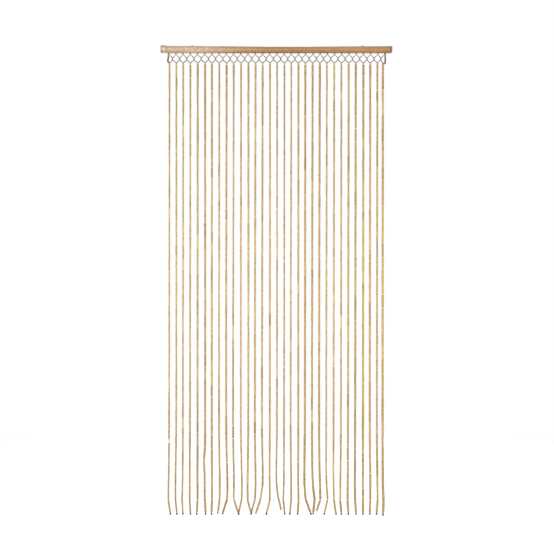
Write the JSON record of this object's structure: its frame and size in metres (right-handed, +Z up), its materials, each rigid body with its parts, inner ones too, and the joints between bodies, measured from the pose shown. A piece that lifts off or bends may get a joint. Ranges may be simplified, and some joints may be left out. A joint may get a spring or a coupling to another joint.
{
  "type": "bamboo tube door curtain with its rail",
  "caption": "Door curtain of slim bamboo tubes on twine, hung from a knotted net under a split bamboo rail with two hanger eyes.",
  "frame": {"origin": "the middle of the rail's flat back face, which lies against the wall or door frame", "axes": "+X along the rail to the right as seen from the front, +Y out of the rail's back into the wall, +Z up"},
  "size_m": [0.978, 0.0183, 1.9855],
  "materials": {
    "rail_bamboo": "satin split bamboo, pale at its left end and warmer to the right",
    "tube_bamboo": "satin natural bamboo in straw, tan and olive tones",
    "twine": "matt grey-brown twisted twine",
    "dull_steel": "dull"
  },
  "bodies": {
    "root": {"rail": "rail_bamboo", "strings": "tube_bamboo", "hanger_left": "dull_steel", "hanger_right": "dull_steel"}
  },
  "joints": []
}
